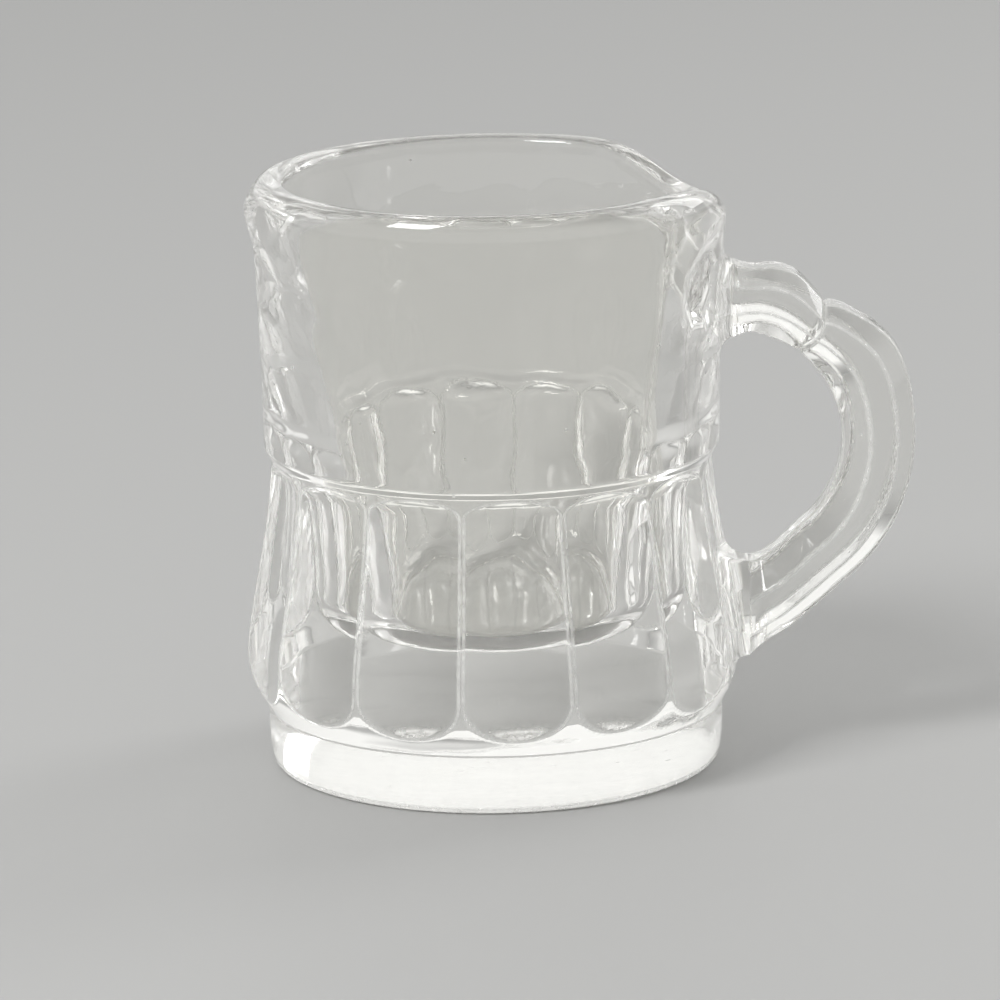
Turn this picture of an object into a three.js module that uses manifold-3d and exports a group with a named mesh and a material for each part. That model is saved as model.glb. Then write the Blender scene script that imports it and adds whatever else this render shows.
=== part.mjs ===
// A miniature pressed-glass beer mug: a cup with a fluted barrel, and a handle made of a lug and a loop.
// Millimetres, Z up. The cup's axis is Z, it stands on z = 0 and the handle points along +X.
import * as THREE from "three";
import { mergeVertices } from "three/addons/utils/BufferGeometryUtils.js";
import Module from "manifold-3d";

// Foot and base
const baseRadius = 20.5;
const baseEdgeRound = 0.8;
const footRadius = 20.8; // where the foot meets the barrel's shoulder
const footHeight = 5.5;

// Fluted barrel
const fluteCount = 14;
const fluteTurn = 5; // degrees from the handle to the nearest ridge
const fluteDepth = 1.0; // ridge to valley
const bellyRadius = 22.6; // over the ridges
const bellyRise = 4.7; // belly above the foot
const waistRadius = 20.0;
const waistRise = 18.3; // waist above the belly
const bellyEase = 7; // how far the barrel runs upright at the belly
const waistEase = 9; // and below the waist
const scoopHeight = 1.8; // rounded end of each flute under the waist
const blankCover = 0.15; // uncut barrel over the ridges

// Plain band and lip
const cupHeight = 54;
const waistBevel = 1.3; // height of the band's bevelled underside
const bandFootRadius = 20.65;
const bandTopRadius = 21.4;
const lipRound = 2.2; // height of the lip's rounding
const lipDip = 2.9; // the lip sags this far beside the handle
const lipDipTurn = 22; // degrees from the handle to the dip
const lipDipNearSpread = 34; // towards the handle and past it
const lipDipFarSpread = 24;
const lipDipBlunt = 2.75; // above 2 flattens the sag's bottom
const lipDipReach = 5.5; // height over which the sag fades
const seamNub = 0.6; // the moulding seam stands proud of the lip, opposite the handle
const seamNubSpread = 9;
const seamNubDrop = 3.1; // below the lip's crest
const seamNubHeight = 2.0;

// Well
const mouthRadius = 18.0;
const wellFootRadius = 12.4;
const floorThickness = 12.2;
const floorRound = 4;
const floorDish = 0.4; // the floor sinks a little towards its middle

// Handle
const barWidth = 6.6;
const barDepth = 6.6;
const barChamfer = 1.93;
const handleReach = 38.4; // from the cup's axis to the outermost point
const lugDrop = 11.7; // from the lip's crest down to the lug's middle
const lugFall = 1.6; // how far the lug bends down before the seam
const lugKnuckle = 4.2; // from the seam's top back to the knuckle
const knuckleRound = 1.6;
const seamTurn = 56; // degrees, slope of the seam
const seamGap = 0.3;
const seamNotch = 1.5; // the bar narrows to the seam along its outer edge
const shoulderTurn = 20; // degrees of the loop over which it swells again
const tailTurn = 34; // degrees, slope of the loop's lower end
const tailSeatHeight = 14; // middle of the lower joint
const upperLandStand = 1.0; // the lands stand this far off the cup
const lowerLandStand = 0.6;
const landFlare = 0.9;
const landSink = 2.6; // how far a land is rooted behind its face

// Facets
const segmentsPerFlute = 6;
const edgeSteps = 3;
const curveSteps = 4;
const barrelSteps = 8;
const arcSegments = 6;
const loopSteps = 28;
const trimSize = 400;
const touching = 1e-6;

const radians = THREE.MathUtils.degToRad;
const wasm = await Module();
wasm.setup();

function toSolid(geometry) {
  const plain = geometry.clone();
  plain.deleteAttribute("normal");
  plain.deleteAttribute("uv");
  const merged = mergeVertices(plain);
  const vertProperties = merged.attributes.position.array;
  const triVerts = new Uint32Array(merged.index.array);
  return new wasm.Manifold(new wasm.Mesh({ numProp: 3, vertProperties, triVerts }));
}

function toGeometry(solid) {
  const { vertProperties, triVerts } = solid.getMesh();
  const geometry = new THREE.BufferGeometry();
  geometry.setAttribute("position", new THREE.BufferAttribute(vertProperties, 3));
  geometry.setIndex(new THREE.BufferAttribute(triVerts, 1));
  geometry.computeVertexNormals();
  return geometry;
}

function glassMesh(name, geometry, roughness) {
  const material = new THREE.MeshStandardMaterial({ color: 0xf3f6ee, roughness, metalness: 0 });
  const mesh = new THREE.Mesh(geometry, material);
  mesh.name = name;
  return mesh;
}

// Heights and radii that follow from the driving dimensions
const bellyHeight = footHeight + bellyRise;
const waistHeight = bellyHeight + waistRise;
const bandFootHeight = waistHeight + waistBevel;
const bandTopHeight = cupHeight - lipRound;
const lipCrestRadius = (bandTopRadius + mouthRadius) / 2;
const ringSegments = fluteCount * segmentsPerFlute;
const lugHeight = cupHeight - lugDrop;

function bandRadiusAt(height) {
  return THREE.MathUtils.mapLinear(height, bandFootHeight, bandTopHeight, bandFootRadius, bandTopRadius);
}

// Turns a profile of (radius, height) about Z. A ring of facets lines up with the flutes' ridges.
function turned(profile) {
  const geometry = new THREE.LatheGeometry(profile, ringSegments);
  geometry.rotateX(Math.PI / 2);
  geometry.rotateZ(radians(fluteTurn - 90));
  return geometry;
}

// The cup before its flutes are cut: foot, shoulder, barrel, band, lip and well in one profile
function cupBlank() {
  const foot = new THREE.Path();
  foot.moveTo(0, 0);
  foot.lineTo(baseRadius - baseEdgeRound, 0);
  foot.quadraticCurveTo(baseRadius, 0, baseRadius, baseEdgeRound);
  foot.lineTo(footRadius, footHeight);

  const shoulder = new THREE.Path();
  const coverRadius = bellyRadius + blankCover;
  const shoulderRise = Math.min(bellyRise, coverRadius - footRadius);
  shoulder.moveTo(footRadius, footHeight);
  shoulder.quadraticCurveTo(coverRadius, footHeight + shoulderRise, coverRadius, bellyHeight);

  const barrel = new THREE.Path();
  barrel.moveTo(coverRadius, bellyHeight);
  barrel.bezierCurveTo(
    coverRadius, bellyHeight + bellyEase,
    waistRadius, waistHeight - waistEase / 2,
    waistRadius, waistHeight,
  );

  const band = new THREE.Path();
  band.moveTo(waistRadius, waistHeight);
  band.lineTo(bandFootRadius, bandFootHeight);
  band.lineTo(bandRadiusAt(bandTopHeight - lipDipReach), bandTopHeight - lipDipReach);
  band.lineTo(bandTopRadius, bandTopHeight);

  const lip = new THREE.Path();
  lip.moveTo(bandTopRadius, bandTopHeight);
  lip.quadraticCurveTo(bandTopRadius, cupHeight, lipCrestRadius, cupHeight);
  lip.quadraticCurveTo(mouthRadius, cupHeight, mouthRadius, bandTopHeight);

  const well = new THREE.Path();
  well.moveTo(mouthRadius, bandTopHeight);
  well.lineTo(wellFootRadius, floorThickness + floorRound);
  well.quadraticCurveTo(wellFootRadius, floorThickness, wellFootRadius - floorRound, floorThickness);
  well.lineTo(0, floorThickness - floorDish);

  const runs = [foot.getPoints(edgeSteps), shoulder.getPoints(curveSteps), barrel.getPoints(barrelSteps)];
  runs.push(band.getPoints(1), lip.getPoints(curveSteps), well.getPoints(curveSteps));
  const profile = runs.flat().filter((point, i, all) => i === 0 || point.distanceTo(all[i - 1]) > touching);
  return toSolid(turned(profile));
}

// A barrel with a hollow flute in each panel, open above the waist and below the shoulder
function flutedBarrel() {
  const valleyBelly = bellyRadius - fluteDepth;
  const valleyWaist = waistRadius - fluteDepth;
  const flare = fluteDepth + bandTopRadius - waistRadius;
  const under = -footHeight;

  const valley = new THREE.Path();
  valley.moveTo(valleyBelly, bellyHeight);
  valley.bezierCurveTo(
    valleyBelly, bellyHeight + bellyEase,
    valleyWaist, waistHeight - waistEase,
    valleyWaist, waistHeight - scoopHeight,
  );
  const scoop = new THREE.Path();
  scoop.moveTo(valleyWaist, waistHeight - scoopHeight);
  scoop.quadraticCurveTo(valleyWaist, waistHeight - scoopHeight / 3, waistRadius, waistHeight);
  scoop.lineTo(waistRadius + flare, waistHeight + flare);

  const ends = new THREE.Path();
  ends.moveTo(waistRadius + flare, waistHeight + flare);
  ends.lineTo(waistRadius + flare, cupHeight + flare);
  ends.lineTo(0, cupHeight + flare);
  const start = [new THREE.Vector2(0, under), new THREE.Vector2(valleyBelly, under)];
  const runs = [start, valley.getPoints(barrelSteps), scoop.getPoints(curveSteps).slice(1)];
  runs.push(ends.getPoints(1).slice(1));

  const geometry = turned(runs.flat());
  const position = geometry.attributes.position;
  for (let i = 0; i < position.count; i++) {
    const x = position.getX(i);
    const y = position.getY(i);
    const radius = Math.hypot(x, y);
    if (radius < touching) continue;
    const panel = ((Math.atan2(y, x) - radians(fluteTurn)) * fluteCount) / (2 * Math.PI);
    const across = 2 * (panel - Math.floor(panel + touching)) - 1; // -1 and 1 on the ridges, 0 in the valley
    const scale = (radius + fluteDepth * across * across) / radius;
    position.setXY(i, x * scale, y * scale);
  }
  return toSolid(geometry);
}

// An eight-sided flared pad for the handle: its face is the bar's own section
function land(faceX, faceHeight, width) {
  const corner = 1 / Math.cos(Math.PI / 8);
  const faceRadius = (barDepth / 2) * corner;
  const rootRadius = faceRadius + landFlare;
  const pad = new THREE.CylinderGeometry(faceRadius, rootRadius, landSink, 8, 1, false, Math.PI / 8);
  pad.rotateZ(-Math.PI / 2);
  pad.translate(-landSink / 2, 0, 0);
  pad.scale(1, 1, width / barDepth);
  pad.translate(faceX, 0, faceHeight);
  return toSolid(pad);
}

// The lip isn't level: it sags beside the handle, and the seam stands proud on the far side
function settleLip(geometry) {
  const position = geometry.attributes.position;
  for (let i = 0; i < position.count; i++) {
    const x = position.getX(i);
    const y = position.getY(i);
    const z = position.getZ(i);
    const turn = THREE.MathUtils.radToDeg(Math.atan2(y, x));
    const fade = THREE.MathUtils.smoothstep(z, bandTopHeight - lipDipReach, cupHeight);
    const spread = turn < lipDipTurn ? lipDipNearSpread : lipDipFarSpread;
    const sag = lipDip * fade * Math.exp(-(Math.abs((turn - lipDipTurn) / spread) ** lipDipBlunt));
    const fromSeam = (180 - Math.abs(turn)) / seamNubSpread;
    const fromNub = (z - cupHeight + seamNubDrop) / seamNubHeight;
    const radius = Math.hypot(x, y);
    const outside = radius > lipCrestRadius ? 1 : 0;
    const proud = outside * seamNub * Math.exp(-(fromSeam ** 2) - fromNub ** 2);
    const scale = radius > 0 ? (radius + proud) / radius : 1;
    position.setXYZ(i, x * scale, y * scale, z - sag);
  }
  geometry.computeVertexNormals();
  return geometry;
}

// Where the handle's two joints and its curve lie, in the plane of X and Z
const upperLandX = bandRadiusAt(lugHeight) + upperLandStand;
const lowerLandX = bellyRadius + lowerLandStand;
const tailEnd = Math.PI / 2 - radians(tailTurn);
const seamStart = radians(seamTurn);
const seamHeight = lugHeight - lugFall;
const loopMiddleX = handleReach - barWidth / 2;
const tailSlope = Math.tan(radians(tailTurn));
const loopRadius =
  (seamHeight - tailSeatHeight - (loopMiddleX - lowerLandX) * tailSlope) /
  (Math.sin(seamStart) + Math.sin(tailEnd) - tailSlope * (1 - Math.cos(tailEnd)));
const loopCentre = new THREE.Vector2(loopMiddleX - loopRadius, seamHeight - loopRadius * Math.sin(seamStart));
const seamOut = new THREE.Vector2(Math.cos(seamStart), Math.sin(seamStart));
const seamAlong = new THREE.Vector2(seamOut.y, -seamOut.x);
const seamPoint = loopCentre.clone().addScaledVector(seamOut, loopRadius);

// A side outline in X and Z made into a bar of eight-sided section, centred on y = 0
function chamferedBar(outline) {
  const depth = barDepth - 2 * barChamfer;
  const bar = new THREE.ExtrudeGeometry(outline, {
    depth,
    curveSegments: arcSegments,
    bevelEnabled: true,
    bevelThickness: barChamfer,
    bevelSize: barChamfer,
    bevelOffset: -barChamfer,
    bevelSegments: 1,
  });
  bar.rotateX(Math.PI / 2);
  bar.translate(0, depth / 2, 0);
  return toSolid(bar);
}

// Everything on the positive side of a plane through (x, z) that faces along (cos, sin) of the turn
function halfSpace(x, z, turn) {
  const block = new THREE.BoxGeometry(trimSize, trimSize, trimSize);
  block.translate(trimSize / 2, 0, 0);
  block.rotateY(-turn);
  block.translate(x, 0, z);
  return toSolid(block);
}

function handleLug() {
  const root = upperLandX - 2 * barChamfer;
  const top = lugHeight + barWidth / 2;
  const bottom = lugHeight - barWidth / 2;
  const notch = seamPoint.clone().addScaledVector(seamOut, barWidth / 2 - seamNotch);
  const heel = seamPoint.clone().addScaledVector(seamOut, -barWidth / 2);
  const knuckle = new THREE.Vector2(notch.x - lugKnuckle, top);
  const fall = notch.clone().sub(knuckle).normalize();
  const afterKnuckle = knuckle.clone().addScaledVector(fall, knuckleRound);
  const overrun = 2 * barChamfer;
  const notchEnd = notch.clone().addScaledVector(fall, overrun);
  const heelEnd = heel.clone().addScaledVector(seamAlong, overrun);

  const outline = new THREE.Shape();
  outline.moveTo(root, bottom);
  outline.lineTo(upperLandX, bottom);
  outline.quadraticCurveTo((upperLandX + heel.x) / 2, bottom, heel.x, heel.y);
  outline.lineTo(heelEnd.x, heelEnd.y);
  outline.lineTo(notchEnd.x, notchEnd.y);
  outline.lineTo(afterKnuckle.x, afterKnuckle.y);
  outline.quadraticCurveTo(knuckle.x, knuckle.y, knuckle.x - knuckleRound, top);
  outline.lineTo(root, top);
  outline.closePath();

  const seamFace = seamPoint.clone().addScaledVector(seamAlong, -seamGap);
  const beyondSeam = halfSpace(seamFace.x, seamFace.y, seamStart - Math.PI / 2);
  const beyondLand = halfSpace(upperLandX, lugHeight, 0);
  return toGeometry(chamferedBar(outline).intersect(beyondLand).subtract(beyondSeam));
}

// The loop's middle line: an arc from the seam, then a straight tail run on into the cup
class LoopLine extends THREE.Curve {
  getPoint(t, target = new THREE.Vector3()) {
    const arc = loopRadius * (seamStart + tailEnd);
    const tailStart = loopCentre.x + loopRadius * Math.cos(tailEnd);
    const tail = (tailStart - lowerLandX) / Math.cos(radians(tailTurn)) + barWidth;
    const along = t * (arc + tail);
    const turn = seamStart - Math.min(along, arc) / loopRadius;
    const past = Math.max(along - arc, 0);
    const x = loopCentre.x + loopRadius * Math.cos(turn) - past * Math.cos(radians(tailTurn));
    const z = loopCentre.y + loopRadius * Math.sin(turn) - past * Math.sin(radians(tailTurn));
    return target.set(x, 0, z);
  }
}

function handleLoop() {
  const corner = barWidth / 2 / Math.cos(Math.PI / 8);
  const section = new THREE.Shape();
  for (let i = 0; i < 8; i++) {
    const turn = ((i + 0.5) * Math.PI) / 4;
    const point = [(corner * Math.cos(turn) * barDepth) / barWidth, corner * Math.sin(turn)];
    if (i === 0) section.moveTo(...point);
    else section.lineTo(...point);
  }
  section.closePath();
  const bar = new THREE.ExtrudeGeometry(section, { steps: loopSteps, extrudePath: new LoopLine() });

  // The outer edge starts in a notch at the seam and swells to its full width
  const position = bar.attributes.position;
  for (let i = 0; i < position.count; i++) {
    const out = new THREE.Vector2(position.getX(i), position.getZ(i)).sub(loopCentre);
    const notched = THREE.MathUtils.smoothstep(out.angle(), seamStart - radians(shoulderTurn), seamStart);
    const proud = out.length() - loopRadius;
    if (proud < 0 || out.angle() > Math.PI) continue;
    out.setLength(loopRadius + proud * (1 - (notched * 2 * seamNotch) / barWidth));
    position.setX(i, loopCentre.x + out.x);
    position.setZ(i, loopCentre.y + out.y);
  }
  return toGeometry(toSolid(bar).intersect(halfSpace(lowerLandX, tailSeatHeight, 0)));
}

function cup() {
  const upperLand = land(upperLandX, lugHeight, barWidth);
  const lowerLand = land(lowerLandX, tailSeatHeight, barWidth / Math.cos(radians(tailTurn)));
  const body = cupBlank().intersect(flutedBarrel());
  return settleLip(toGeometry(body.add(upperLand).add(lowerLand)));
}

const mug = new THREE.Group();
mug.add(glassMesh("cup", cup(), 0.04));
mug.add(glassMesh("handle_lug", handleLug(), 0.05));
mug.add(glassMesh("handle_loop", handleLoop(), 0.05));

export default mug;
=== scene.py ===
import math
import bpy
from mathutils import Matrix, Vector, noise


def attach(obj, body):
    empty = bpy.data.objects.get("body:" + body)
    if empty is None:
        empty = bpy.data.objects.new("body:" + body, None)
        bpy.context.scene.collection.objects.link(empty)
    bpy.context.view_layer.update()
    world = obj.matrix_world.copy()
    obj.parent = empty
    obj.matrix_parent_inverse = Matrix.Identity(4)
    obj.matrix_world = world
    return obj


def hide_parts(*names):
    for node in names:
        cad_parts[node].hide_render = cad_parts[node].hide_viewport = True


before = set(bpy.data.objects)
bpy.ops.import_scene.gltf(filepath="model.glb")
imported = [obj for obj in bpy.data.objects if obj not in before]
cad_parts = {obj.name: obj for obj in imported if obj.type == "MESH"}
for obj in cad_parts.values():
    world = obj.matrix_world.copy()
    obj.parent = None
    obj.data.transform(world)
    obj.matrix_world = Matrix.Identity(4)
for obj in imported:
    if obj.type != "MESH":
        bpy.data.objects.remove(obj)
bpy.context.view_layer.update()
print("frame loaded with", ", ".join(sorted(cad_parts)))

mm = 0.001
perMetre = 1000   # millimetres, for the scale of textures
fullTurn = 2 * math.pi


# small helpers for lines, rounding and rings

def ease(t):
    t = min(max(t, 0.0), 1.0)
    return t * t * (3 - 2 * t)


def softMin(a, b, width):
    h = min(max(0.5 + 0.5 * (b - a) / width, 0.0), 1.0)
    return b + (a - b) * h - width * h * (1 - h)


def hermite(start, end, startSlope, endSlope, at):
    (x0, y0), (x1, y1) = start, end
    step = x1 - x0
    t = (at - x0) / step
    a = (1 + 2 * t) * (1 - t) ** 2 * y0 + t * (1 - t) ** 2 * step * startSlope
    b = t * t * (3 - 2 * t) * y1 + t * t * (t - 1) * step * endSlope
    return a + b


def alongLine(points, at):  # smooth height-to-radius line that never overshoots its points
    if at <= points[0][0]:
        return points[0][1]
    if at >= points[-1][0]:
        return points[-1][1]
    i = 0
    while points[i + 1][0] < at:
        i += 1

    def slope(k):
        if k == 0 or k == len(points) - 1:
            j = min(k, len(points) - 2)
            return (points[j + 1][1] - points[j][1]) / (points[j + 1][0] - points[j][0])
        before = (points[k][1] - points[k - 1][1]) / (points[k][0] - points[k - 1][0])
        after = (points[k + 1][1] - points[k][1]) / (points[k + 1][0] - points[k][0])
        if before * after <= 0:
            return 0.0
        return 2 * before * after / (before + after)

    return hermite(points[i], points[i + 1], slope(i), slope(i + 1), at)


def smoothAt(points, at):  # cubic through the points, free to overshoot
    n = len(points)
    i = 0
    while i < n - 2 and points[i + 1][0] < at:
        i += 1

    def slope(k):
        a, b = max(k - 1, 0), min(k + 1, n - 1)
        return (points[b][1] - points[a][1]) / (points[b][0] - points[a][0])

    return hermite(points[i], points[i + 1], slope(i), slope(i + 1), at)


def spread(low, high, count):  # evenly spaced values, without the last one
    return [low + (high - low) * i / count for i in range(count)]


def quarter(count, first=0):  # turns of a quarter circle, without the last one
    return [math.pi / 2 * i / count for i in range(first, count)]


def wander(x, y, z, size):  # slow unevenness of pressed glass, -1 to 1
    return noise.noise(Vector((x / size, y / size, z / size)))


def ringFace(k, j, count):  # the face between ring k and the next one, at column j
    right = (j + 1) % count
    here, after = k * count, (k + 1) * count
    return here + j, here + right, after + right, after + j


# the bar's eight-sided section, shared by the lug, the loop and both lands
barShape = {
    "depth": 6.6,
    "outerFlat": 0.42,     # half width of the outer face, as a share of half the depth
    "innerFlat": 0.42,
    "sideTop": 0.50,       # where the side face ends, towards the outer face
    "sideFoot": -0.26,     # and towards the inner face
    "cornerPower": 110,    # higher is crisper
    "edgeStart": 0.91,     # how alike two faces' reach is where a corner begins to be rubbed and painted white, partly real wear and partly painted highlight
    "edgeBlend": 0.09,
    "wobble": 0.02,
    "wobbleSize": 5.0,
    "wobbleShift": 20,     # moves the bar to its own part of the noise
    "wobbleRise": 3,       # sets the outer and inner faces apart in the noise
    "points": 192,
}


def barCorner(turn):
    c, s = math.cos(turn), math.sin(turn)
    total = 0.0
    for nx, ny, reach in barFaces:
        facing = (c * nx + s * ny) / reach
        if facing > 0:
            total += facing ** barShape["cornerPower"]
    return total ** (-1 / barShape["cornerPower"])


def barEdge(turn):  # 1 on the corners between two faces
    c, s = math.cos(turn), math.sin(turn)
    facing = sorted((c * nx + s * ny) / reach for nx, ny, reach in barFaces)
    return ease((facing[-2] / facing[-1] - barShape["edgeStart"]) / barShape["edgeBlend"])


def barFaceList():
    corners = [(barShape["outerFlat"], 1), (1, barShape["sideTop"]), (1, barShape["sideFoot"]),
               (barShape["innerFlat"], -1)]
    ring = corners + [(-x, y) for x, y in reversed(corners)]
    faces = []
    for (x0, y0), (x1, y1) in zip(ring, ring[1:] + ring[:1]):
        nx, ny = y0 - y1, x1 - x0
        length = math.hypot(nx, ny)
        nx, ny = nx / length, ny / length
        reach = nx * x0 + ny * y0
        if reach < 0:
            nx, ny, reach = -nx, -ny, -reach
        faces.append((nx, ny, reach))
    return faces


barFaces = barFaceList()


# the cup: foot, fluted barrel, waist, plain band, lip and well
cupSize = {
    "height": 54.0,
    "flutes": 14,
    "columnsPerFlute": 24,
    "ridgeCrowd": 0.7,     # columns crowd towards the ridges
    "ridgeTurn": 5.0,      # degrees from the handle to the nearest ridge
    "baseHole": 2.5,       # radius of the innermost ring underneath
    "baseRound": 0.8,
    "baseRadius": 20.45,
    "footLine": [(0.0, 20.40), (3.0, 20.72), (5.45, 20.76)],
    "footTop": 5.45,
    "shoulderLine": [(5.45, 20.76), (6.4, 21.30), (7.4, 21.86), (8.4, 22.26), (9.4, 22.48),
                     (10.4, 22.56), (12.0, 22.46), (14.5, 22.08), (17.0, 21.62), (19.5, 21.14),
                     (22.0, 20.72), (24.5, 20.36), (26.5, 20.14), (28.5, 20.02)],
    "belly": 10.4,
    "fluteDepth": 1.0,
    "fluteReach": 1.0,     # the flutes have run out this far above the waist
    "ridgeStrip": 0.08,    # how much the ridges are dulled
    "ridgeSoft": 0.04,
    "waist": 28.5,
    "archDrop": 1.6,       # the flutes' arched tops spring this far below the waist
    "archSteep": 4,
    "bandLine": [(28.5, 20.02), (29.75, 20.68), (31.0, 20.70), (35.0, 20.74), (40.0, 20.88),
                 (45.0, 21.06), (48.0, 21.20), (50.0, 21.36), (51.4, 21.42)],
    "bandTop": 51.4,
    "bandTopRadius": 21.42,
    "crestRadius": 19.9,
    "lipFlat": 18.9,       # from the crest to here the lip's top slopes in a little
    "lipSlope": 0.12,
    "mouthRadius": 18.29,  # then a tight edge turns down into the well
    "mouthHeight": 53.0,
    "wellFoot": 16.2,
    "wellFootRadius": 12.4,
    "floor": 12.2,
    "floorRound": 4.0,
    "floorDish": 0.4,
    "dip": 2.9,
    "dipTurn": 22.0,
    "dipNear": 34.0,       # degrees it spreads towards the handle and past it
    "dipFar": 24.0,
    "dipBlunt": 2.75,      # above 2 flattens the sag's bottom
    "dipReach": 7.7,       # the sag fades out this far below the crest
    "nub": 0.55,
    "nubSpread": 9.0,
    "nubHeight": 50.9,
    "nubTall": 2.0,
    "nubFrom": 40,         # nothing below this height is moved by the nub
    "outsideGuess": 21.0,  # where the search for the outside starts, and how often it is refined
    "outsidePasses": 4,
    "outsideWobble": 0.035,
    "outsideSample": 21,   # the noise is read on a cylinder of this radius
    "outsideCalm": 4,      # and comes in over this height above the base
    "outsideSlow": 7.0,
    "outsideFine": 3.0,
    "outsideFineShare": 0.5,
    "outsideFineShift": 40,
    "insideWobble": 0.09,
    "insideSample": 18,
    "insideCalm": 2,       # the well's floor is even to this radius
    "insideCalmWidth": 8,
    "insideSlow": 8.0,
    "insideSlowShift": 90,
    "insideStretch": 0.5,  # the well's slow ripples are drawn out up the wall
    "insideFine": 4.0,
    "insideFineShare": 0.6,
    "insideFineShift": 70,
    "heightSteps": [(5.0, 8), (6.2, 8), (10.4, 20), (24.0, 36),   # how many rings lead up to each height
                    (26.0, 8), (30.2, 36), (46.0, 36), (51.4, 12)],
    "rings": {"base": 8, "baseEdge": 6, "lipOutside": 14, "lipInside": 12,
              "wall": 56, "bend": 14, "floor": 11},
    "glassTurn": 0.0,      # radians, so that the pieces don't share one pattern
    "seedShare": 0.3,
}
columns = cupSize["flutes"] * cupSize["columnsPerFlute"]

# how far the cup's crests are rubbed and painted white, from 0 to 1, and how wide, in millimetres: partly
# real wear, partly painted highlight along the ridges, arches, waist, foot and base
cupWearAndHighlight = {
    "baseEdge": 0.9,
    "baseFlat": 0.35,
    "flatHeight": 0.02,
    "waist": 0.12,
    "waistWidth": 0.12,
    "foot": 0.5,
    "footWidth": 1.2,
    "ridgesFrom": 6.0,
    "ridgeWidth": 0.06,
    "archWidth": 0.08,     # added in the arches, which are steeper than the ridges
}


def cupTurn(column):
    u = column / cupSize["columnsPerFlute"]
    crowded = u - cupSize["ridgeCrowd"] * math.sin(fullTurn * u) / fullTurn
    return math.radians(cupSize["ridgeTurn"]) + fullTurn * crowded / cupSize["flutes"]


def columnNear(turn):
    return min(range(-columns // 4, columns // 4), key=lambda j: abs(cupTurn(j) - turn))


def blankRadius(z):
    if z < cupSize["footTop"]:
        return alongLine(cupSize["footLine"], z)
    if z < cupSize["waist"]:
        return alongLine(cupSize["shoulderLine"], z)
    return alongLine(cupSize["bandLine"], z)


def fluteRadius(turn, z):
    panel = (math.degrees(turn) - cupSize["ridgeTurn"]) * cupSize["flutes"] / 360
    across = 2 * (panel - math.floor(panel)) - 1   # -1 and 1 on the ridges, 0 in the valley
    depth = cupSize["fluteDepth"]
    ridge = alongLine(cupSize["shoulderLine"], max(z, cupSize["belly"]))
    t = (z - cupSize["waist"] + cupSize["archDrop"]) / cupSize["archDrop"]
    if t <= 0:
        scoop = 0.0
    elif t <= 1:
        scoop = t * t
    else:
        scoop = 1 + cupSize["archSteep"] * (t - 1)
    return ridge + cupSize["ridgeStrip"] - depth * (1 - across * across) + depth * scoop


def outsideRadius(turn, z):
    radius = blankRadius(z)
    if z < cupSize["waist"] + cupSize["fluteReach"]:
        radius = softMin(radius, fluteRadius(turn, z), cupSize["ridgeSoft"])
    x, y = math.cos(turn) * cupSize["outsideSample"], math.sin(turn) * cupSize["outsideSample"]
    calm = ease(z / cupSize["outsideCalm"]) * cupSize["outsideWobble"]
    slow = wander(x, y, z, cupSize["outsideSlow"])
    fine = wander(y + cupSize["outsideFineShift"], x, z, cupSize["outsideFine"])
    return radius + calm * (slow + cupSize["outsideFineShare"] * fine)


def insideRadius(turn, z, radius):
    x, y = math.cos(turn) * cupSize["insideSample"], math.sin(turn) * cupSize["insideSample"]
    calm = ease((radius - cupSize["insideCalm"]) / cupSize["insideCalmWidth"]) * cupSize["insideWobble"]
    slow = wander(x + cupSize["insideSlowShift"], y, z * cupSize["insideStretch"], cupSize["insideSlow"])
    fine = wander(x, y + cupSize["insideFineShift"], z, cupSize["insideFine"])
    return radius + calm * (slow + cupSize["insideFineShare"] * fine)


def settleLip(turn, radius, z):  # the sag beside the handle and the seam's nub opposite
    degrees = math.degrees(math.atan2(math.sin(turn), math.cos(turn)))
    fade = ease((z - cupSize["height"] + cupSize["dipReach"]) / cupSize["dipReach"])
    reach = cupSize["dipNear"] if degrees < cupSize["dipTurn"] else cupSize["dipFar"]
    away = abs((degrees - cupSize["dipTurn"]) / reach)
    sag = cupSize["dip"] * fade * math.exp(-away ** cupSize["dipBlunt"])
    if radius > cupSize["crestRadius"] and z > cupSize["nubFrom"]:
        fromSeam = (180 - abs(degrees)) / cupSize["nubSpread"]
        fromNub = (z - cupSize["nubHeight"]) / cupSize["nubTall"]
        radius += cupSize["nub"] * math.exp(-fromSeam ** 2 - fromNub ** 2)
    return Vector((radius * math.cos(turn), radius * math.sin(turn), z - sag))


def edgeWearAndHighlight(ring, turn):  # 1 on the crests that get rubbed and carry a painted highlight, 0 on sheltered glass
    kind, z = ring[0], ring[2]
    if kind == "base":
        return cupWearAndHighlight["baseEdge"] if z > cupWearAndHighlight["flatHeight"] else cupWearAndHighlight["baseFlat"]
    if kind != "outside":
        return 0.0
    atWaist = math.exp(-((z - cupSize["waist"]) / cupWearAndHighlight["waistWidth"]) ** 2)
    atFoot = math.exp(-(z / cupWearAndHighlight["footWidth"]) ** 2)
    wearAndHighlight = cupWearAndHighlight["waist"] * atWaist + cupWearAndHighlight["foot"] * atFoot
    if cupWearAndHighlight["ridgesFrom"] < z < cupSize["waist"]:
        arch = max(0.0, 1 - (cupSize["waist"] - z) / cupSize["archDrop"])
        width = cupWearAndHighlight["ridgeWidth"] + cupWearAndHighlight["archWidth"] * arch
        wearAndHighlight = max(wearAndHighlight, math.exp(-((blankRadius(z) - fluteRadius(turn, z)) / width) ** 2))
    return wearAndHighlight


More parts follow.
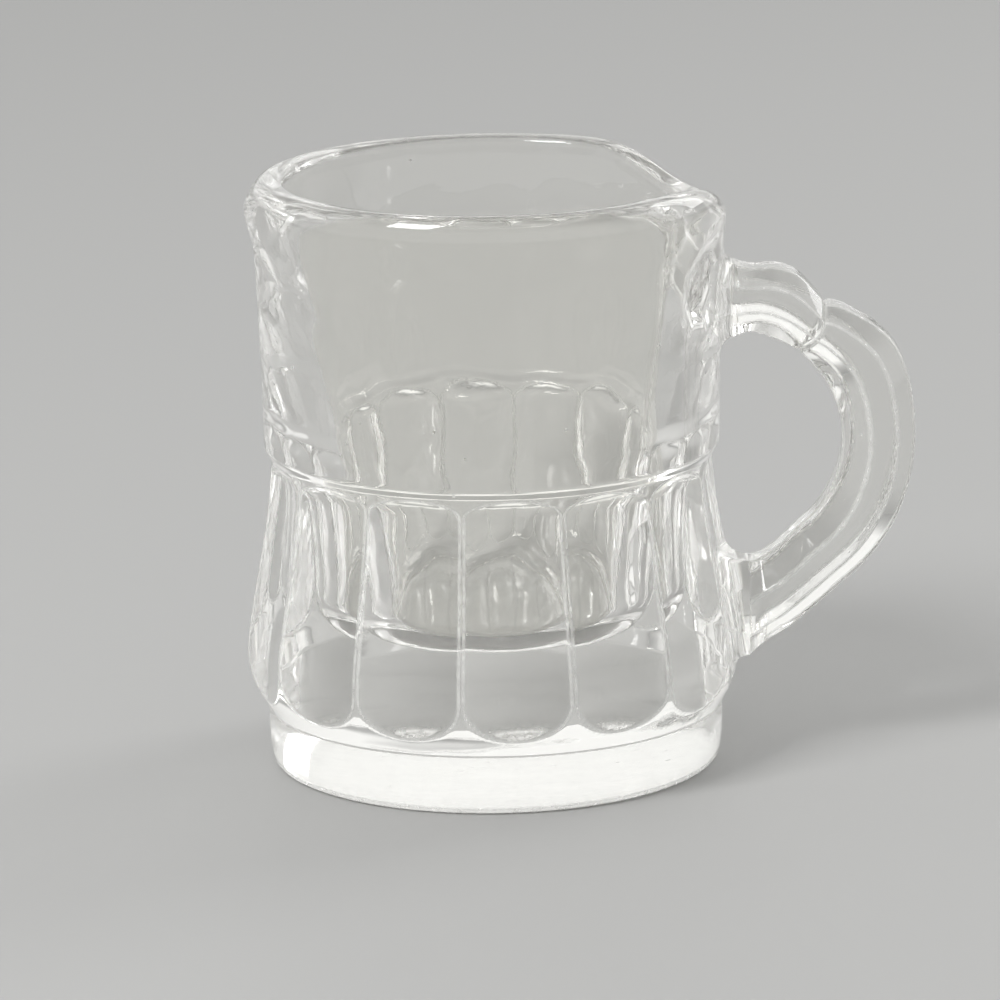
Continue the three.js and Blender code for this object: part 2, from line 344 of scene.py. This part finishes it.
def cupRings():
    rings = []   # each ring has a kind, a radius and a height, and an outside ring finds its radius later
    count = cupSize["rings"]
    base, edge = cupSize["baseRadius"], cupSize["baseRound"]
    for radius in spread(cupSize["baseHole"], base - edge, count["base"]):
        rings.append(("base", radius, 0.0))
    for a in quarter(count["baseEdge"]):
        rings.append(("base", base - edge + edge * math.sin(a), edge - edge * math.cos(a)))
    low = edge
    for high, steps in cupSize["heightSteps"]:
        for z in spread(low, high, steps):
            rings.append(("outside", 0.0, z))
        low = high
    outer, crest, mouth = cupSize["bandTopRadius"], cupSize["crestRadius"], cupSize["mouthRadius"]
    bandTop, top, mouthHeight = cupSize["bandTop"], cupSize["height"], cupSize["mouthHeight"]
    for a in quarter(count["lipOutside"]):
        rings.append(("lip", crest + (outer - crest) * math.cos(a), bandTop + (top - bandTop) * math.sin(a)))
    rings.append(("lip", crest, top))
    flat, fall = cupSize["lipFlat"], top - cupSize["lipSlope"] - mouthHeight
    for a in quarter(count["lipInside"], 1):
        rings.append(("lip", flat - (flat - mouth) * math.sin(a), mouthHeight + fall * math.cos(a)))
    footRadius, foot = cupSize["wellFootRadius"], cupSize["wellFoot"]
    for t in spread(0, 1, count["wall"]):
        rings.append(("inside", mouth + (footRadius - mouth) * t, mouthHeight * (1 - t) + foot * t))
    bend, floor = cupSize["floorRound"], cupSize["floor"]
    for a in quarter(count["bend"]):
        rings.append(("inside", footRadius - bend + bend * math.cos(a), foot - (foot - floor) * math.sin(a)))
    level = footRadius - bend
    for t in spread(0, 1, count["floor"]):
        radius = level * (1 - t)
        dish = cupSize["floorDish"] * (1 - (radius / level) ** 2)
        rings.append(("inside", radius, floor - dish))
    return rings


def cupPoint(ring, turn):
    kind, radius, z = ring
    if kind == "base":
        return Vector((radius * math.cos(turn), radius * math.sin(turn), z))
    if kind == "outside":
        return settleLip(turn, outsideRadius(turn, z), z)
    if kind == "inside":
        return settleLip(turn, insideRadius(turn, z, radius), z)
    return settleLip(turn, radius, z)


def outsideX(y, z):
    x = cupSize["outsideGuess"]
    for i in range(cupSize["outsidePasses"]):
        radius = outsideRadius(math.atan2(y, x), z)
        x = math.sqrt(max(radius * radius - y * y, 1.0))
    return x


# where the handle grows out of the cup: each land's face, and the window in the wall that it grows from
landSize = {
    "upper": {"face": 22.1, "top": 45.6, "foot": 38.95, "depth": 7.4, "fillet": 1.7,
              "windowTop": 49.0, "windowFoot": 35.6},
    "lower": {"face": 23.2, "top": 18.1, "foot": 9.2, "depth": 7.3, "fillet": 1.5,
              "windowTop": 21.6, "windowFoot": 6.6},
    "windowTurn": 15.5,
    "rings": 18,
    "crowd": 2.0,          # rings crowd towards the land's face
}


def landOutline(land, turn):
    half, middle = (land["top"] - land["foot"]) / 2, (land["top"] + land["foot"]) / 2
    reach = barCorner(turn)
    return Vector((0, reach * math.cos(turn) * land["depth"] / 2, middle + reach * math.sin(turn) * half))


def outsideRingNear(rings, height):
    outside = [k for k, ring in enumerate(rings) if ring[0] == "outside"]
    return min(outside, key=lambda k: abs(rings[k][2] - height))


def growLand(land, rings, points, faces, capFaces, columnSpan):
    low = outsideRingNear(rings, land["windowFoot"])
    high = outsideRingNear(rings, land["windowTop"])
    first, last = columnSpan
    border = [(low, j) for j in range(first, last)] + [(k, last) for k in range(low, high)]
    border += [(high, j) for j in range(last, first, -1)] + [(k, first) for k in range(high, low, -1)]
    loop = [k * columns + j % columns for k, j in border]
    half, middle = (land["top"] - land["foot"]) / 2, (land["top"] + land["foot"]) / 2
    targets = []
    for index in loop:
        p = points[index]
        turn = math.atan2((p.z - middle) / half, p.y / (land["depth"] / 2))
        targets.append(landOutline(land, turn))
    before = loop
    for step in range(1, landSize["rings"] + 1):
        t = 1 - (1 - step / landSize["rings"]) ** landSize["crowd"]
        row = []
        for index, target in zip(loop, targets):
            p = points[index]
            y, z = p.y + (target.y - p.y) * t, p.z + (target.z - p.z) * t
            away = math.hypot(y - target.y, z - target.z) / land["fillet"]
            x = outsideX(y, z)
            if away < 1:
                x += (land["face"] - x) * (1 - math.sqrt(1 - (1 - away) ** 2))
            row.append(len(points))
            points.append(Vector((x, y, z)))
        for i in range(len(loop)):
            j = (i + 1) % len(loop)
            faces.append((before[i], before[j], row[j], row[i]))
        before = row
    middlePoint = len(points)
    points.append(Vector((land["face"], 0, middle)))
    for i in range(len(loop)):
        capFaces.append((before[i], before[(i + 1) % len(loop)], middlePoint))
    return {(k, j % columns) for k in range(low, high) for j in range(first, last)}


def makeMesh(name, points, faces, capFaces, wearAndHighlight):
    mesh = bpy.data.meshes.new(name)
    used = sorted({i for face in faces + capFaces for i in face})
    place = {old: new for new, old in enumerate(used)}
    allFaces = [tuple(place[i] for i in face) for face in faces + capFaces]
    mesh.from_pydata([points[i] * mm for i in used], [], allFaces)
    mesh.polygons.foreach_set("use_smooth", [True] * len(allFaces))
    # each point's share of rubbed-crest whiteness: partly real wear, partly painted highlight
    rubbed_and_highlit = mesh.attributes.new("rubbed_and_highlit", "FLOAT", "POINT")
    rubbed_and_highlit.data.foreach_set("value", [wearAndHighlight[i] if i < len(wearAndHighlight) else 0.0 for i in used])
    mesh.polygons.foreach_set("material_index", [0] * len(faces) + [1] * len(capFaces))
    rim = {}   # the caps' outer edges are sharp
    for face in allFaces[len(faces):]:
        for a, b in zip(face, face[1:] + face[:1]):
            rim[frozenset((a, b))] = rim.get(frozenset((a, b)), 0) + 1
    sharp = {key for key, count in rim.items() if count == 1}
    mesh.edges.foreach_set("use_edge_sharp", [frozenset(e.vertices) in sharp for e in mesh.edges])
    mesh.validate()
    mesh.update()
    piece = bpy.data.objects.new(name, mesh)
    bpy.context.scene.collection.objects.link(piece)
    return piece


def makeCup():
    rings = cupRings()
    turns = [cupTurn(j) for j in range(columns)]
    points = [cupPoint(ring, turn) for ring in rings for turn in turns]
    faces, capFaces, skipped = [], [], set()
    window = math.radians(landSize["windowTurn"])
    columnSpan = (columnNear(-window), columnNear(window))
    for key in ("upper", "lower"):
        skipped |= growLand(landSize[key], rings, points, faces, capFaces, columnSpan)
    for k in range(len(rings) - 1):
        for j in range(columns):
            if (k, j) not in skipped:
                faces.append(ringFace(k, j, columns))
    under, floor = len(points), len(points) + 1
    points.append(Vector((0, 0, 0)))
    points.append(Vector((0, 0, cupSize["floor"] - cupSize["floorDish"])))
    final = (len(rings) - 1) * columns
    for j in range(columns):
        right = (j + 1) % columns
        faces.append((under, right, j))
        faces.append((floor, final + j, final + right))
    wearAndHighlight = [edgeWearAndHighlight(ring, turn) for ring in rings for turn in turns]
    return makeMesh("glass_cup", points, faces, capFaces, wearAndHighlight)


# a bar lofted between two rails in the plane of X and Z: the outer rail and the inner rail
def railPoint(rail, t):
    stops, total = [0.0], 0.0
    for (x0, z0), (x1, z1) in zip(rail, rail[1:]):
        total += math.hypot(x1 - x0, z1 - z0)
        stops.append(total)
    xs = [(s, p[0]) for s, p in zip(stops, rail)]
    zs = [(s, p[1]) for s, p in zip(stops, rail)]
    return smoothAt(xs, t * total), smoothAt(zs, t * total)


def makeBar(name, outer, inner, stations, shape):
    points, faces, capFaces, wearAndHighlight = [], [], [], []
    count = barShape["points"]
    edges = [barEdge(fullTurn * j / count) for j in range(count)]
    for t in stations:
        ox, oz = railPoint(outer, t)
        ix, iz = railPoint(inner, t)
        half = math.hypot(ox - ix, oz - iz) / 2
        upX, upZ = (ox - ix) / (2 * half), (oz - iz) / (2 * half)
        cx, cz = (ox + ix) / 2, (oz + iz) / 2
        tight, bulge = shape(t)
        for j in range(count):
            turn = fullTurn * j / count
            reach = barCorner(turn)
            across, up = reach * math.cos(turn), reach * math.sin(turn)
            lean = bulge * (1 - min(up * up, 1.0))
            side = across * (barShape["depth"] / 2 - tight)
            rise = up * (half - tight)
            sample = cx + up * barShape["wobbleRise"] + barShape["wobbleShift"]
            rough = barShape["wobble"] * wander(sample, side, cz, barShape["wobbleSize"])
            points.append(Vector((cx + upX * rise + upZ * lean + upX * up * rough,
                                  side + across * rough,
                                  cz + upZ * rise - upX * lean + upZ * up * rough)))
        seamHighlight = max(tight, 0.0) / lugSize["groove"]   # the groove at the seam is painted white too, a painted highlight along the seam
        wearAndHighlight.extend(max(edge, seamHighlight) for edge in edges)
    for k in range(len(stations) - 1):
        for j in range(count):
            faces.append(ringFace(k, j, count))
    last = (len(stations) - 1) * count
    for start, t, flip in ((0, stations[0], False), (last, stations[-1], True)):
        bulge = shape(t)[1]
        ox, oz = railPoint(outer, t)
        ix, iz = railPoint(inner, t)
        tall = math.hypot(ox - ix, oz - iz)
        middleX = (ox + ix) / 2 + (oz - iz) / tall * bulge
        middleZ = (oz + iz) / 2 - (ox - ix) / tall * bulge
        points.append(Vector((middleX, 0, middleZ)))
        for j in range(count):
            right = (j + 1) % count
            face = (start + j, start + right, len(points) - 1)
            capFaces.append(face if flip else face[::-1])
    return makeMesh(name, points, faces, capFaces, wearAndHighlight)


# the lug: a short stub with a knuckle, ending at the seam
lugSize = {
    "top": [(22.1, 45.2), (23.0, 45.12), (24.0, 45.12), (25.2, 45.28), (26.4, 45.16),
            (27.9, 44.45), (29.35, 42.9), (30.25, 41.85)],
    "foot": [(22.1, 39.35), (23.2, 39.4), (24.3, 39.2), (25.9, 38.6), (27.0, 38.08), (27.9, 37.5)],
    "bulge": 0.65,         # the seam is domed towards the loop
    "bulgeStart": 0.3,     # from here on, as shares of the lug's length
    "bulgeShare": 0.7,
    "groove": 0.32,        # and runs in a shallow groove
    "grooveShare": 0.07,
    "rootFlare": 0.4,
    "flareShare": 0.3,
    "stations": 56,
    "crowd": 1.3,          # stations crowd towards the seam
    "glassTurn": 0.7,
    "seedShare": 0.5,
}


def lugShape(t):
    groove = lugSize["groove"] * max(0.0, 1 - (1 - t) / lugSize["grooveShare"]) ** 2
    flare = lugSize["rootFlare"] * max(0.0, 1 - t / lugSize["flareShare"]) ** 2
    return groove - flare, lugSize["bulge"] * ease((t - lugSize["bulgeStart"]) / lugSize["bulgeShare"])


def makeLug():
    steps = lugSize["stations"]
    stations = [1 - (1 - i / steps) ** lugSize["crowd"] for i in range(steps + 1)]
    return makeBar("handle_stub", lugSize["top"], lugSize["foot"], stations, lugShape)


# the loop: an arc from the seam, then a straighter tail into the barrel
loopSize = {
    "middle": (21.4, 29.4),
    "outerRadius": 16.95,
    "innerRadius": 10.35,
    "seamTop": (30.25, 41.85),
    "seamFoot": (27.9, 37.5),
    "swell": [(50.0, 1.1), (44.0, 0.68), (37.0, 0.22)],   # the outer edge stays low near the notch
    "shoulder": 0.45,      # then stands proud of a true arc
    "shoulderTurn": 26.0,
    "shoulderSpread": 14.0,
    "innerTurns": (46.0, 38.0),
    "firstTurn": 30,       # from here to the last turn both edges follow their arcs
    "lastTurn": -52,
    "arcSteps": 10,
    "tailOuter": [(27.0, 11.95), (25.0, 10.72), (23.2, 9.55)],
    "tailInner": [(25.9, 19.45), (24.5, 18.45), (23.2, 17.75)],
    "tailFlare": 0.35,
    "flareShare": 0.06,    # shares of the loop's length
    "grooveShare": 0.012,
    "bulgeShare": 0.16,
    "stations": 150,
    "seamStations": [0.002, 0.004, 0.0085, 0.010, 0.012],
    "glassTurn": 1.4,
    "seedShare": 0.6,
}


def loopOuter(turn):
    fromShoulder = (turn - loopSize["shoulderTurn"]) / loopSize["shoulderSpread"]
    return loopSize["outerRadius"] + loopSize["shoulder"] * math.exp(-fromShoulder ** 2)


def loopArc(radius, turn):
    cx, cz = loopSize["middle"]
    a = math.radians(turn)
    return cx + radius * math.cos(a), cz + radius * math.sin(a)


def loopRails():
    outer, inner = [loopSize["seamTop"]], [loopSize["seamFoot"]]
    for turn, low in loopSize["swell"]:
        outer.append(loopArc(loopOuter(turn) - low, turn))
    for turn in loopSize["innerTurns"]:
        inner.append(loopArc(loopSize["innerRadius"], turn))
    first, last, steps = loopSize["firstTurn"], loopSize["lastTurn"], loopSize["arcSteps"]
    for i in range(steps + 1):
        turn = first + (last - first) * i / steps
        outer.append(loopArc(loopOuter(turn), turn))
        inner.append(loopArc(loopSize["innerRadius"], turn))
    return outer + loopSize["tailOuter"], inner + loopSize["tailInner"]


def loopShape(t):
    groove = lugSize["groove"] * max(0.0, 1 - t / loopSize["grooveShare"]) ** 2
    flare = loopSize["tailFlare"] * max(0.0, 1 - (1 - t) / loopSize["flareShare"]) ** 2
    return groove - flare, lugSize["bulge"] * ease(1 - t / loopSize["bulgeShare"])


def makeLoop():
    outer, inner = loopRails()
    stations = [i / loopSize["stations"] for i in range(loopSize["stations"] + 1)]
    stations = sorted(set(stations + loopSize["seamStations"]))
    return makeBar("handle_loop_bar", outer, inner, stations, loopShape)


# clear pressed glass: slow ripples from the mould, fine orange peel, seeds, and rubbed crests painted white,
# partly real wear and partly painted highlight
glassLook = {
    "tint": (0.992, 0.989, 0.966, 1.0),
    "bend": 1.5,
    "rippleSize": 5.0,              # sizes in millimetres
    "rippleDetail": 1.0,
    "rippleBump": (0.35, 0.12),     # each bump's strength and depth
    "peelSize": 0.9,
    "peelDetail": 2.0,
    "peelBump": (0.10, 0.03),
    "seedSize": 3.4,                # spacing of the tiny bubbles
    "seedEdge": (0.03, 0.055),      # a seed fades out between these shares of its cell
    "seedBump": (0.3, 0.08),
    "patchNoise": (0.3, 0.7),       # the rubbing and its painted highlight are patchy: this much of the peel's noise
    "patchLevel": (0.45, 1.0),      # becomes this share of the wear and painted highlight
    "clearRough": 0.004,
    "rubbedRough": 0.34,
    "rubbedAndHighlightWhite": 0.58,            # how far a crest is painted white: partly the finest scratches clouding it, partly painted highlight
}


def pressedGlass(name, turn, seedShare):
    material = bpy.data.materials.new(name)
    material.use_nodes = True
    nodes, links = material.node_tree.nodes, material.node_tree.links
    shader = nodes["Principled BSDF"]
    shader.inputs["Base Color"].default_value = glassLook["tint"]
    shader.inputs["IOR"].default_value = glassLook["bend"]
    shader.inputs["Transmission Weight"].default_value = 1.0

    def texture(kind, size, **values):
        made = nodes.new(kind)
        made.inputs["Scale"].default_value = perMetre / size
        for key, value in values.items():
            made.inputs[key].default_value = value
        links.new(shift.outputs["Vector"], made.inputs["Vector"])
        return made.outputs

    def remap(source, fromEnds, toEnds):
        made = nodes.new("ShaderNodeMapRange")
        made.inputs["From Min"].default_value, made.inputs["From Max"].default_value = fromEnds
        made.inputs["To Min"].default_value, made.inputs["To Max"].default_value = toEnds
        links.new(source, made.inputs["Value"])
        return made.outputs["Result"]

    def combine(operation, first, second):
        made = nodes.new("ShaderNodeMath")
        made.operation = operation
        links.new(first, made.inputs[0])
        links.new(second, made.inputs[1])
        return made.outputs["Value"]

    def bump(height, look):
        made = nodes.new("ShaderNodeBump")
        made.inputs["Strength"].default_value = look[0]
        made.inputs["Distance"].default_value = look[1] * mm
        links.new(height, made.inputs["Height"])
        return made

    place = nodes.new("ShaderNodeTexCoord")
    shift = nodes.new("ShaderNodeMapping")
    shift.inputs["Rotation"].default_value = (0.0, 0.0, turn)
    links.new(place.outputs["Object"], shift.inputs["Vector"])
    ripple = texture("ShaderNodeTexNoise", glassLook["rippleSize"], Detail=glassLook["rippleDetail"])["Fac"]
    peel = texture("ShaderNodeTexNoise", glassLook["peelSize"], Detail=glassLook["peelDetail"])["Fac"]
    cells = texture("ShaderNodeTexVoronoi", glassLook["seedSize"])

    pit = remap(cells["Distance"], glassLook["seedEdge"], (1.0, 0.0))
    draw = nodes.new("ShaderNodeSeparateColor")
    links.new(cells["Color"], draw.inputs["Color"])
    chosen = nodes.new("ShaderNodeMath")
    chosen.operation = "GREATER_THAN"
    chosen.inputs[1].default_value = 1 - seedShare   # only some cells hold a seed
    links.new(draw.outputs["Red"], chosen.inputs[0])
    seed = combine("MULTIPLY", pit, chosen.outputs["Value"])

    slow = bump(ripple, glassLook["rippleBump"])
    fine = bump(peel, glassLook["peelBump"])
    dent = bump(seed, glassLook["seedBump"])
    links.new(slow.outputs["Normal"], fine.inputs["Normal"])
    links.new(fine.outputs["Normal"], dent.inputs["Normal"])
    links.new(dent.outputs["Normal"], shader.inputs["Normal"])

    # crests, seam and seeds are clouded white by lowering the transmission; on the crests and seam this is
    # partly real wear, partly painted highlight
    rubbed_and_highlit = nodes.new("ShaderNodeAttribute")
    rubbed_and_highlit.attribute_name = "rubbed_and_highlit"
    patchy = remap(peel, glassLook["patchNoise"], glassLook["patchLevel"])
    wornAndHighlit = combine("MULTIPLY", rubbed_and_highlit.outputs["Fac"], patchy)
    most = combine("MAXIMUM", wornAndHighlit, seed)
    rough = remap(most, (0.0, 1.0), (glassLook["clearRough"], glassLook["rubbedRough"]))
    clear = remap(most, (0.0, 1.0), (1.0, 1 - glassLook["rubbedAndHighlightWhite"]))
    links.new(rough, shader.inputs["Roughness"])
    links.new(clear, shader.inputs["Transmission Weight"])
    return material


def fusedJoint():  # light passes straight on where two pieces are one casting
    material = bpy.data.materials.new("fused_joint")
    material.use_nodes = True
    nodes, links = material.node_tree.nodes, material.node_tree.links
    nodes.remove(nodes["Principled BSDF"])
    clear = nodes.new("ShaderNodeBsdfTransparent")
    links.new(clear.outputs["BSDF"], nodes["Material Output"].inputs["Surface"])
    return material


joint = fusedJoint()
cup = makeCup()
cup.data.materials.append(pressedGlass("cup_glass", cupSize["glassTurn"], cupSize["seedShare"]))
cup.data.materials.append(joint)
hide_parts("cup")
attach(cup, "root")
print("cup made:", len(cup.data.polygons), "faces")

lug = makeLug()
lug.data.materials.append(pressedGlass("lug_glass", lugSize["glassTurn"], lugSize["seedShare"]))
lug.data.materials.append(joint)
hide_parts("handle_lug")
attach(lug, "root")
loop = makeLoop()
loop.data.materials.append(pressedGlass("loop_glass", loopSize["glassTurn"], loopSize["seedShare"]))
loop.data.materials.append(joint)
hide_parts("handle_loop")
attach(loop, "root")
print("handle made:", len(lug.data.polygons) + len(loop.data.polygons), "faces")


# floor and soft boxes, in metres
stageSize = {
    "floor": 3.0,
    "floorDrop": 0.00005,  # keeps the floor just clear of the base
    "floorColour": (0.45, 0.45, 0.445, 1.0),
    "floorRough": 0.6,
    "key": {"place": (-0.34, -0.36, 0.56), "aim": (0, 0, 0.02), "size": (0.24, 0.24), "power": 2.9},
    "rim": {"place": (0.46, 0.34, 0.34), "aim": (0, 0, 0.03), "size": (0.22, 0.40), "power": 1.0},
}


def makeFloor():
    half = stageSize["floor"]
    corners = [(-half, -half, 0), (half, -half, 0), (half, half, 0), (-half, half, 0)]
    mesh = bpy.data.meshes.new("studio_floor")
    mesh.from_pydata(corners, [], [(0, 1, 2, 3)])
    floor = bpy.data.objects.new("studio_floor", mesh)
    bpy.context.scene.collection.objects.link(floor)
    floor.location.z = -stageSize["floorDrop"]
    material = bpy.data.materials.new("pale_floor")
    material.use_nodes = True
    shader = material.node_tree.nodes["Principled BSDF"]
    shader.inputs["Base Color"].default_value = stageSize["floorColour"]
    shader.inputs["Roughness"].default_value = stageSize["floorRough"]
    mesh.materials.append(material)


def lookAlong(direction):  # lamps and cameras look down their own -Z
    return direction.to_track_quat("-Z", "Y")


def softBox(name, box):
    lamp = bpy.data.lights.new(name, "AREA")
    lamp.shape = "RECTANGLE"
    lamp.size, lamp.size_y = box["size"]
    lamp.energy = box["power"]
    holder = bpy.data.objects.new(name, lamp)
    holder.location = box["place"]
    holder.rotation_euler = lookAlong(Vector(box["aim"]) - Vector(box["place"])).to_euler()
    holder.visible_camera = False
    bpy.context.scene.collection.objects.link(holder)


makeFloor()
softBox("key_softbox", stageSize["key"])
softBox("rim_softbox", stageSize["rim"])

# the room: an even dome for the floor's light, and a pale horizon that the glass and the camera see
roomLook = {
    "dome": (0.60, 0.60, 0.593, 1.0),
    "bands": [(0.0, 0.36), (0.03, 0.55), (0.07, 1.0), (0.45, 1.0),   # brightness by height
              (0.60, 0.72), (0.80, 0.72), (0.92, 1.0)],
    "blueShare": 0.99,     # a little less blue than red and green
    "bounces": 64,         # thick glass passes light on many times
    "jointBounces": 16,
}


def makeRoom():
    world = bpy.data.worlds.new("studio_room")
    world.use_nodes = True
    nodes, links = world.node_tree.nodes, world.node_tree.links
    dome = nodes["Background"]
    dome.inputs["Color"].default_value = roomLook["dome"]
    seen = nodes.new("ShaderNodeBackground")
    where = nodes.new("ShaderNodeTexCoord")
    split = nodes.new("ShaderNodeSeparateXYZ")
    ramp = nodes.new("ShaderNodeValToRGB")
    stops = ramp.color_ramp.elements
    given = len(stops)
    for i, (height, level) in enumerate(roomLook["bands"]):
        stop = stops[i] if i < given else stops.new(height)
        stop.position = height
        stop.color = (level, level, level * roomLook["blueShare"], 1.0)
    ray = nodes.new("ShaderNodeLightPath")
    first = nodes.new("ShaderNodeMath")
    first.operation = "MAXIMUM"
    either = nodes.new("ShaderNodeMath")
    either.operation = "MAXIMUM"
    pick = nodes.new("ShaderNodeMixShader")
    links.new(where.outputs["Generated"], split.inputs["Vector"])
    links.new(split.outputs["Z"], ramp.inputs["Fac"])
    links.new(ramp.outputs["Color"], seen.inputs["Color"])
    links.new(ray.outputs["Is Camera Ray"], first.inputs[0])
    links.new(ray.outputs["Is Glossy Ray"], first.inputs[1])
    links.new(first.outputs["Value"], either.inputs[0])
    links.new(ray.outputs["Is Transmission Ray"], either.inputs[1])
    links.new(either.outputs["Value"], pick.inputs["Fac"])
    links.new(dome.outputs["Background"], pick.inputs[1])
    links.new(seen.outputs["Background"], pick.inputs[2])
    links.new(pick.outputs["Shader"], nodes["World Output"].inputs["Surface"])
    bpy.context.scene.world = world
    lightPaths = bpy.context.scene.cycles
    lightPaths.max_bounces = roomLook["bounces"]
    lightPaths.glossy_bounces = roomLook["bounces"]
    lightPaths.transmission_bounces = roomLook["bounces"]
    lightPaths.transparent_max_bounces = roomLook["jointBounces"]


makeRoom()

# the photo's viewing angle, in millimetres and degrees
cameraView = {
    "place": (0.0, -571.0, 163.23),
    "aim": (0.67, 0.0, 23.8),
    "lens": 232.8,
    "sensor": 36.0,
    "roll": -0.92,
}


def makeCamera():
    data = bpy.data.cameras.new("camera")
    data.lens = cameraView["lens"]
    data.sensor_width = cameraView["sensor"]
    camera = bpy.data.objects.new("camera", data)
    place, aim = Vector(cameraView["place"]) * mm, Vector(cameraView["aim"]) * mm
    turn = lookAlong(aim - place).to_matrix()
    roll = Matrix.Rotation(math.radians(cameraView["roll"]), 3, "Z")
    camera.rotation_euler = (turn @ roll).to_euler()
    camera.location = place
    bpy.context.scene.collection.objects.link(camera)
    bpy.context.scene.camera = camera


makeCamera()
bpy.context.scene.view_settings.view_transform = "Standard"
print("stage, light and camera set")
